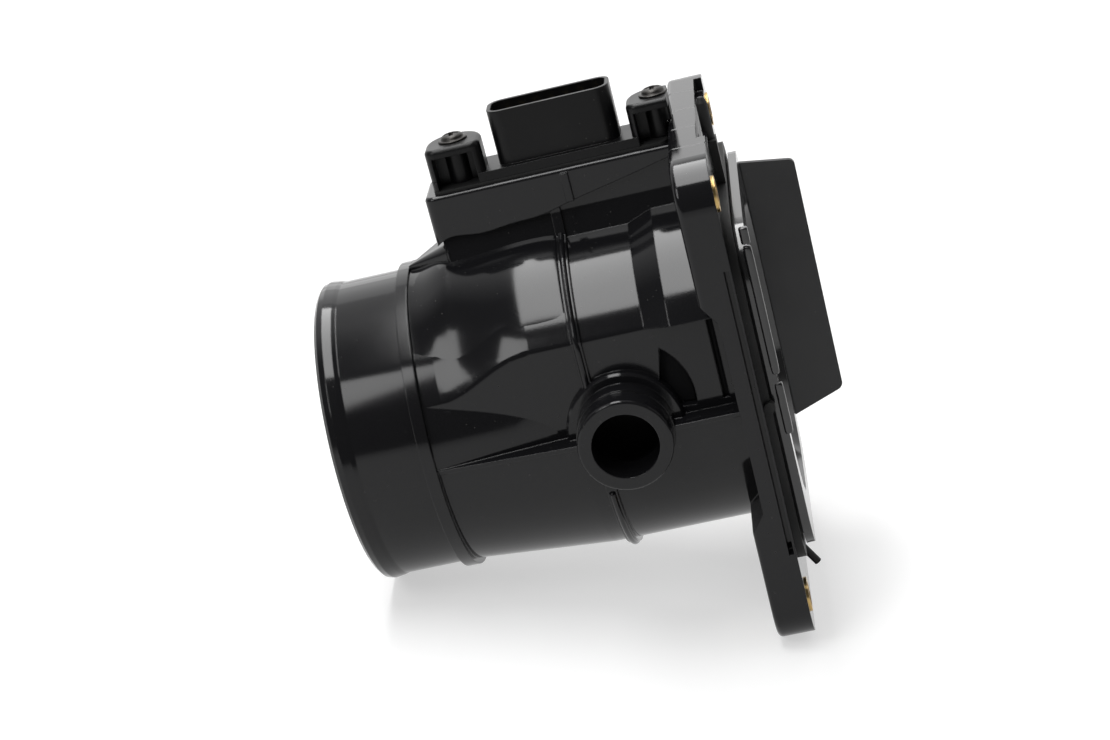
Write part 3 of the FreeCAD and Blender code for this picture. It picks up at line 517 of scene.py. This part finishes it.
def dress(material, *names):
    """Gives a CAD node its material, in every slot it has."""
    for name in names:
        mesh = NODES[name].data
        if not mesh.materials:
            mesh.materials.append(material)
        for index in range(len(mesh.materials)):
            mesh.materials[index] = material


def worn_by(name):
    """The material that a CAD node wears."""
    return NODES[name].data.materials[0]


# Operators

class AIRFLOW_OT_housing(bpy.types.Operator):
    """Black glossy moulding of the duct and its flange"""
    bl_idname = "airflow.housing"
    bl_label = "Duct housing"

    def execute(self, context):
        finish = context.scene.airflow_finish
        moulding = surface("Housing moulding", tuple(finish.housing_colour),
                           roughness=finish.housing_gloss, grain_mm=finish.grain_size,
                           grain_depth=0.003, spread=0.03, specular=0.27, edge_mm=0.45)
        dress(ear_lines(moulding), "duct_housing")
        return {"FINISHED"}


class AIRFLOW_OT_roof(bpy.types.Operator):
    """Swelling of the roof between stop ring and rib, with the wedge up to the neck"""
    bl_idname = "airflow.roof"
    bl_label = "Roof crown"

    def execute(self, context):
        mesh_piece("roof_crown", [roof_crown(), neck_fairing()], worn_by("duct_housing"))
        return {"FINISHED"}


class AIRFLOW_OT_rib(bpy.types.Operator):
    """Rounded top of the body's rib"""
    bl_idname = "airflow.rib"
    bl_label = "Rib bead"

    def execute(self, context):
        mesh_piece("body_rib_bead", [rib_bead(*bead) for bead in RIB_BEADS],
                   worn_by("duct_housing"))
        return {"FINISHED"}


class AIRFLOW_OT_recesses(bpy.types.Operator):
    """Dark, dull pads on the floors of the leaf-shaped recess by the nipple and of the groove by
    the flange: painted shade, darker and less glossy than the housing where the recesses lie in
    shade
    """
    bl_idname = "airflow.recesses"
    bl_label = "Recess shade pads"

    def execute(self, context):
        leaf = recess_floor(straight(LEAF_START, LEAF_RUN), arc_through(*LEAF_ARC), LEAF_FLOOR)
        groove = recess_floor(straight(GROOVE_LEFT, GROOVE_RUN),
                              straight(GROOVE_RIGHT, GROOVE_RUN), GROOVE_FLOOR)
        # Painted shade: the pads are darker than the housing and barely reflect, so both recesses
        # read as shaded.
        painted_shade = surface("Recess texture", (0.004, 0.004, 0.0045), roughness=0.62,
                          grain_mm=0.5, grain_depth=0.02, specular=0.08)
        mesh_piece("recess_floors", [leaf, groove], painted_shade)
        return {"FINISHED"}


class AIRFLOW_OT_brass(bpy.types.Operator):
    """Brass bushings in the flange's corners and the threaded inserts under the screws"""
    bl_idname = "airflow.brass"
    bl_label = "Bushings and inserts"

    def execute(self, context):
        finish = context.scene.airflow_finish
        dress(surface("Bushing brass", tuple(finish.brass_colour), roughness=0.28,
                      grain_mm=0.3, grain_depth=0.004, metal=1.0, pale=(0.8, 0.66, 0.42)),
              "flange_bushings", "screw_inserts")
        return {"FINISHED"}


class AIRFLOW_OT_inlet(bpy.types.Operator):
    """Gasket, clamping frame, honeycomb and guide wall at the inlet"""
    bl_idname = "airflow.inlet"
    bl_label = "Inlet parts"

    def execute(self, context):
        finish = context.scene.airflow_finish
        dress(surface("Gasket rubber", tuple(finish.rubber_colour), roughness=0.55,
                      grain_mm=0.4, grain_depth=0.01, spread=0.15, specular=0.35),
              "inlet_gasket")
        dress(surface("Frame plastic", (0.012, 0.012, 0.0125), roughness=0.12, grain_mm=0.4,
                      grain_depth=0.002, specular=0.6, edge_mm=0.1),
              "inlet_frame", "flow_straightener")
        dress(surface("Guide plastic", tuple(finish.guide_colour), roughness=0.5,
                      grain_mm=0.6, grain_depth=0.01, spread=0.12, specular=0.4, edge_mm=0.4),
              "intake_guide")
        return {"FINISHED"}


class AIRFLOW_OT_frame_bars(bpy.types.Operator):
    """Three rounded bars along the inlet frame's near edge, one above the other"""
    bl_idname = "airflow.frame_bars"
    bl_label = "Frame bars"

    def execute(self, context):
        low, high = (np.array(corner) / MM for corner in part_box("inlet_frame"))
        x, y = high[0] + BAR_OFFSET[0], low[1] + BAR_OFFSET[1]
        bars = [rounded_bar((x, y, (top + bottom) / 2), (*BAR_HALF, (top - bottom) / 2))
                for top, bottom in BAR_SPANS]
        mesh_piece("frame_edge_bars", bars, worn_by("inlet_frame"))
        return {"FINISHED"}


class AIRFLOW_OT_channel(bpy.types.Operator):
    """Measuring channel, pillar and plate inside the duct"""
    bl_idname = "airflow.channel"
    bl_label = "Measuring channel"

    def execute(self, context):
        dress(surface("Channel plastic", (0.014, 0.014, 0.0145), roughness=0.38, grain_mm=0.5,
                      grain_depth=0.006, edge_mm=0.3),
              "vortex_channel", "vortex_generator", "vortex_stabiliser")
        return {"FINISHED"}


class AIRFLOW_OT_module(bpy.types.Operator):
    """Sensor cover with its posts and socket, and the seal under it"""
    bl_idname = "airflow.module"
    bl_label = "Sensor cover"

    def execute(self, context):
        finish = context.scene.airflow_finish
        dress(surface("Cover plastic", tuple(finish.cover_colour), roughness=0.30,
                      grain_mm=0.45, grain_depth=0.006, spread=0.1, specular=0.17,
                      edge_mm=0.4), "module_head")
        dress(surface("Seal rubber", tuple(finish.rubber_colour), roughness=0.6, grain_mm=0.4,
                      grain_depth=0.01, specular=0.35), "module_seal")
        return {"FINISHED"}


class AIRFLOW_OT_screws(bpy.types.Operator):
    """The two cover screws, each with a dome, a washer face and a cross recess"""
    bl_idname = "airflow.screws"
    bl_label = "Cover screws"

    def execute(self, context):
        steel = surface("Screw steel", tuple(context.scene.airflow_finish.steel_colour),
                        roughness=0.42, grain_mm=0.25, grain_depth=0.004, metal=1.0,
                        edge_mm=0.1)
        dress(steel, "module_screws")
        low, high = (np.array(corner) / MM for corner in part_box("module_screws"))
        seat = high[2] - WASHER_T - DOME_H
        screws = [screw_form(x, seat, low[2] - seat)
                  for x in (low[0] + WASHER_R, high[0] - WASHER_R)]
        piece = mesh_piece("cover_screws", screws, steel)
        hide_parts("module_screws")
        return {"FINISHED"}


class AIRFLOW_OT_electronics(bpy.types.Operator):
    """Carrier, board, sensors and connector blades under the cover"""
    bl_idname = "airflow.electronics"
    bl_label = "Electronics"

    def execute(self, context):
        dress(surface("Carrier plastic", (0.016, 0.016, 0.017), roughness=0.45, grain_mm=0.4,
                      grain_depth=0.006), "sensor_carrier", "pressure_port")
        dress(surface("Board laminate", (0.02, 0.11, 0.05), roughness=0.35, grain_mm=0.4,
                      grain_depth=0.003), "circuit_board")
        dress(surface("Chip plastic", (0.02, 0.02, 0.022), roughness=0.5, grain_mm=0.2,
                      grain_depth=0.004), "pressure_sensor", "barometric_sensor")
        dress(surface("Probe resin", (0.03, 0.03, 0.035), roughness=0.2, grain_mm=0.3,
                      grain_depth=0.003), "air_temperature_sensor")
        dress(surface("Capacitor ceramic", (0.30, 0.21, 0.12), roughness=0.4, grain_mm=0.3,
                      grain_depth=0.004), "board_capacitors")
        dress(surface("Blade plating", (0.70, 0.55, 0.28), roughness=0.22, grain_mm=0.2,
                      grain_depth=0.002, metal=1.0),
              *[f"terminal_{i}" for i in range(1, 8)])
        return {"FINISHED"}


def soft_lamp(name, power, width, height, place, target):
    """A rectangular lamp at a place, turned to a target, unseen by the camera itself."""
    data = bpy.data.lights.new(name, "AREA")
    data.shape = "RECTANGLE"
    data.size = width
    data.size_y = height
    data.energy = power
    lamp = bpy.data.objects.new(name, data)
    bpy.context.scene.collection.objects.link(lamp)
    lamp.location = place
    lamp.rotation_euler = (Vector(target) - Vector(place)).to_track_quat("-Z", "Y").to_euler()
    lamp.visible_camera = False


def seen_ray(tree):
    """1 for rays that show a thing itself: camera, glossy and transmission rays."""
    path = add(tree, "ShaderNodeLightPath")
    seen = math_node(tree, "MAXIMUM", path.outputs["Is Camera Ray"], path.outputs["Is Glossy Ray"])
    return math_node(tree, "MAXIMUM", seen, path.outputs["Is Transmission Ray"])


def floor_material(colour):
    """Pale floor: white to the camera where it is lit, darker only where the part shades it."""
    material = bpy.data.materials.new("Pale floor")
    material.use_nodes = True
    tree = material.node_tree
    shader = tree.nodes["Principled BSDF"]
    shader.inputs["Roughness"].default_value = 0.6
    shader.inputs["Base Color"].default_value = (*colour, 1.0)
    glow = add(tree, "ShaderNodeEmission", {"Strength": FLOOR_GLOW})
    both = add(tree, "ShaderNodeAddShader")
    tree.links.new(shader.outputs[0], both.inputs[0])
    tree.links.new(glow.outputs[0], both.inputs[1])
    choose = add(tree, "ShaderNodeMixShader")
    tree.links.new(seen_ray(tree), choose.inputs[0])
    tree.links.new(shader.outputs[0], choose.inputs[1])
    tree.links.new(both.outputs[0], choose.inputs[2])
    tree.links.new(choose.outputs[0], tree.nodes["Material Output"].inputs["Surface"])
    return material


class AIRFLOW_OT_studio(bpy.types.Operator):
    """Camera, pale floor, white surround and soft lamps"""
    bl_idname = "airflow.studio"
    bl_label = "Studio"

    def execute(self, context):
        studio = context.scene.airflow_studio
        scene = context.scene
        az, el, roll = studio.camera_azimuth, studio.camera_elevation, studio.camera_roll
        out = Vector((math.cos(el) * math.sin(az), -math.cos(el) * math.cos(az), math.sin(el)))
        right = (-out).cross(Vector((0, 0, 1))).normalized()
        up = right.cross(-out)
        target = Vector(PIVOT) + right * AIM_RIGHT + up * AIM_UP
        side = right * math.cos(roll) + up * math.sin(roll)
        top = up * math.cos(roll) - right * math.sin(roll)
        data = bpy.data.cameras.new("Camera")
        data.sensor_width = 36.0
        data.lens = studio.lens
        data.shift_x = SHIFT_X
        data.shift_y = SHIFT_Y
        camera = bpy.data.objects.new("Camera", data)
        scene.collection.objects.link(camera)
        camera.matrix_world = Matrix((
            (side.x, top.x, out.x, 0), (side.y, top.y, out.y, 0), (side.z, top.z, out.z, 0),
            (0, 0, 0, 1)))
        camera.location = target + out * studio.camera_distance
        scene.camera = camera

        # A square whose one side runs along the line the part lies on, the other along Y
        along = np.array((Vector(LOW_FLANGE) - Vector(LOW_OUTLET)).normalized())
        ends = np.array([-FLOOR_HALF, FLOOR_HALF])
        u, v = np.meshgrid(ends, ends, indexing="ij")
        points = np.array(LOW_FLANGE) + u[..., None] * along + v[..., None] * np.array([0, 1, 0])
        mesh = bpy.data.meshes.new("Floor")
        mesh.from_pydata(points.reshape(-1, 3).tolist(), [], [[0, 2, 3, 1]])
        floor = bpy.data.objects.new("Floor", mesh)
        scene.collection.objects.link(floor)
        mesh.materials.append(floor_material(tuple(studio.floor_colour)))

        world = bpy.data.worlds.new("Studio")
        world.use_nodes = True
        scene.world = world
        tree = world.node_tree
        ground = tree.nodes["Background"]
        ground.inputs["Color"].default_value = (1, 1, 1, 1)
        # White behind the part, a dim room before it; the camera sees white all round.
        way = add(tree, "ShaderNodeTexCoord").outputs["Generated"]
        parts = add(tree, "ShaderNodeSeparateXYZ")
        tree.links.new(way, parts.inputs[0])
        behind = remap(tree, parts.outputs["Y"], *ROOM_EDGE, ROOM_DIM, 1.0)
        path = add(tree, "ShaderNodeLightPath")
        shown = math_node(tree, "MAXIMUM", behind, path.outputs["Is Camera Ray"])
        strength = math_node(tree, "ADD", ROOM_FILL, math_node(
            tree, "MULTIPLY", seen_ray(tree), math_node(tree, "SUBTRACT", shown, ROOM_FILL)))
        tree.links.new(strength, ground.inputs["Strength"])

        for name, setting, width, height, place, aim in LAMPS:
            soft_lamp(name, getattr(studio, setting), width, height, place, aim)
        scene.view_settings.view_transform = "Standard"
        return {"FINISHED"}


class AIRFLOW_PT_panel(bpy.types.Panel):
    """All settings, and a button for each step"""
    bl_idname = "AIRFLOW_PT_panel"
    bl_label = "Airflow sensor"
    bl_space_type = "VIEW_3D"
    bl_region_type = "UI"
    bl_category = "Airflow"

    def draw(self, context):
        layout = self.layout
        for settings in (context.scene.airflow_finish, context.scene.airflow_studio):
            column = layout.column(align=True)
            for key in settings.bl_rna.properties.keys():
                if key not in ("rna_type", "name"):
                    column.prop(settings, key)
        for step in STEPS:
            layout.operator(step.bl_idname)


STEPS = (AIRFLOW_OT_studio, AIRFLOW_OT_housing, AIRFLOW_OT_roof, AIRFLOW_OT_rib,
         AIRFLOW_OT_recesses, AIRFLOW_OT_brass, AIRFLOW_OT_inlet, AIRFLOW_OT_frame_bars,
         AIRFLOW_OT_channel, AIRFLOW_OT_module, AIRFLOW_OT_screws, AIRFLOW_OT_electronics)
CLASSES = (AirflowFinish, AirflowStudio) + STEPS + (AIRFLOW_PT_panel,)


def register():
    for item in CLASSES:
        bpy.utils.register_class(item)
    bpy.types.Scene.airflow_finish = bpy.props.PointerProperty(type=AirflowFinish)
    bpy.types.Scene.airflow_studio = bpy.props.PointerProperty(type=AirflowStudio)


def unregister():
    del bpy.types.Scene.airflow_studio
    del bpy.types.Scene.airflow_finish
    for item in reversed(CLASSES):
        bpy.utils.unregister_class(item)


def main():
    """Runs every step in order."""
    register()
    for step in STEPS:
        area, name = step.bl_idname.split(".")
        getattr(getattr(bpy.ops, area), name)()


if __name__ == "__main__":
    main()
